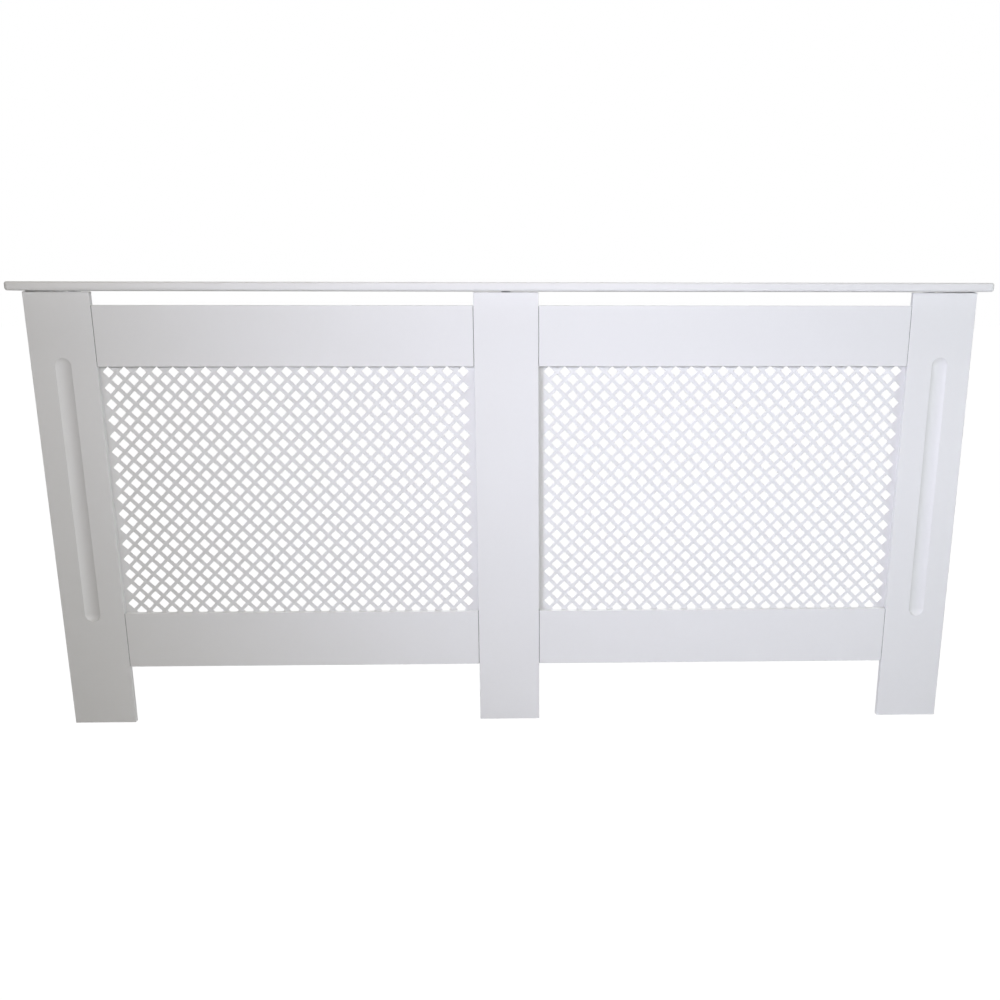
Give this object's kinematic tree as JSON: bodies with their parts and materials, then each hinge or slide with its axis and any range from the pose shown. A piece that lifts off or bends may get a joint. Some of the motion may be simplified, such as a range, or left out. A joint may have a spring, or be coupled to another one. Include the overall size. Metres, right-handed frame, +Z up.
{
  "type": "radiator cover cabinet",
  "caption": "Long white painted radiator cover with lattice bays between fluted stiles, a plain rounded shelf, vent slots above and below, and an open back.",
  "frame": {"origin": "on the floor under the middle of the cover's overall box", "axes": "+X along the cover to the right as seen from the room, +Y back to the wall, +Z up; the front faces -Y"},
  "size_m": [1.72, 0.19, 0.815],
  "materials": {
    "white_board": "satin white paint on smooth fibreboard",
    "white_sheet": "thin white lacquer on punched fibreboard sheet",
    "beech": "plain turned beech",
    "zinc_steel": "bright zinc plate",
    "cast_zinc": "bare die-cast zinc"
  },
  "bodies": {
    "root": {"shelf": "white_board", "stile_left": "white_board", "stile_centre": "white_board", "stile_right": "white_board", "top_rail_left": "white_board", "bottom_rail_left": "white_board", "top_rail_right": "white_board", "bottom_rail_right": "white_board", "lattice_left": "white_sheet", "lattice_right": "white_sheet", "end_panel_left": "white_board", "end_panel_right": "white_board", "rail_dowel_left_top_outer": "beech", "rail_dowel_left_top_inner": "beech", "rail_dowel_left_bottom_outer": "beech", "rail_dowel_left_bottom_inner": "beech", "rail_dowel_right_top_outer": "beech", "rail_dowel_right_top_inner": "beech", "rail_dowel_right_bottom_outer": "beech", "rail_dowel_right_bottom_inner": "beech", "stile_dowel_left": "beech", "shelf_dowel_left_front": "beech", "shelf_dowel_left_back": "beech", "stile_dowel_right": "beech", "shelf_dowel_right_front": "beech", "shelf_dowel_right_back": "beech", "cam_left_lower": "cast_zinc", "cam_left_upper": "cast_zinc", "shelf_cam_left": "cast_zinc", "cam_bolt_left_lower": "zinc_steel", "cam_bolt_left_upper": "zinc_steel", "shelf_cam_bolt_left": "zinc_steel", "cam_right_lower": "cast_zinc", "cam_right_upper": "cast_zinc", "shelf_cam_right": "cast_zinc", "cam_bolt_right_lower": "zinc_steel", "cam_bolt_right_upper": "zinc_steel", "shelf_cam_bolt_right": "zinc_steel", "lattice_screw_left_top_outer": "zinc_steel", "lattice_screw_left_top_inner": "zinc_steel", "lattice_screw_left_bottom_outer": "zinc_steel", "lattice_screw_left_bottom_inner": "zinc_steel", "lattice_screw_right_top_outer": "zinc_steel", "lattice_screw_right_top_inner": "zinc_steel", "lattice_screw_right_bottom_outer": "zinc_steel", "lattice_screw_right_bottom_inner": "zinc_steel", "centre_bracket": "zinc_steel", "centre_bracket_screw_shelf": "zinc_steel", "centre_bracket_screw_stile": "zinc_steel", "wall_bracket_left": "zinc_steel", "wall_bracket_screw_left": "zinc_steel", "wall_bracket_right": "zinc_steel", "wall_bracket_screw_right": "zinc_steel"}
  },
  "joints": []
}
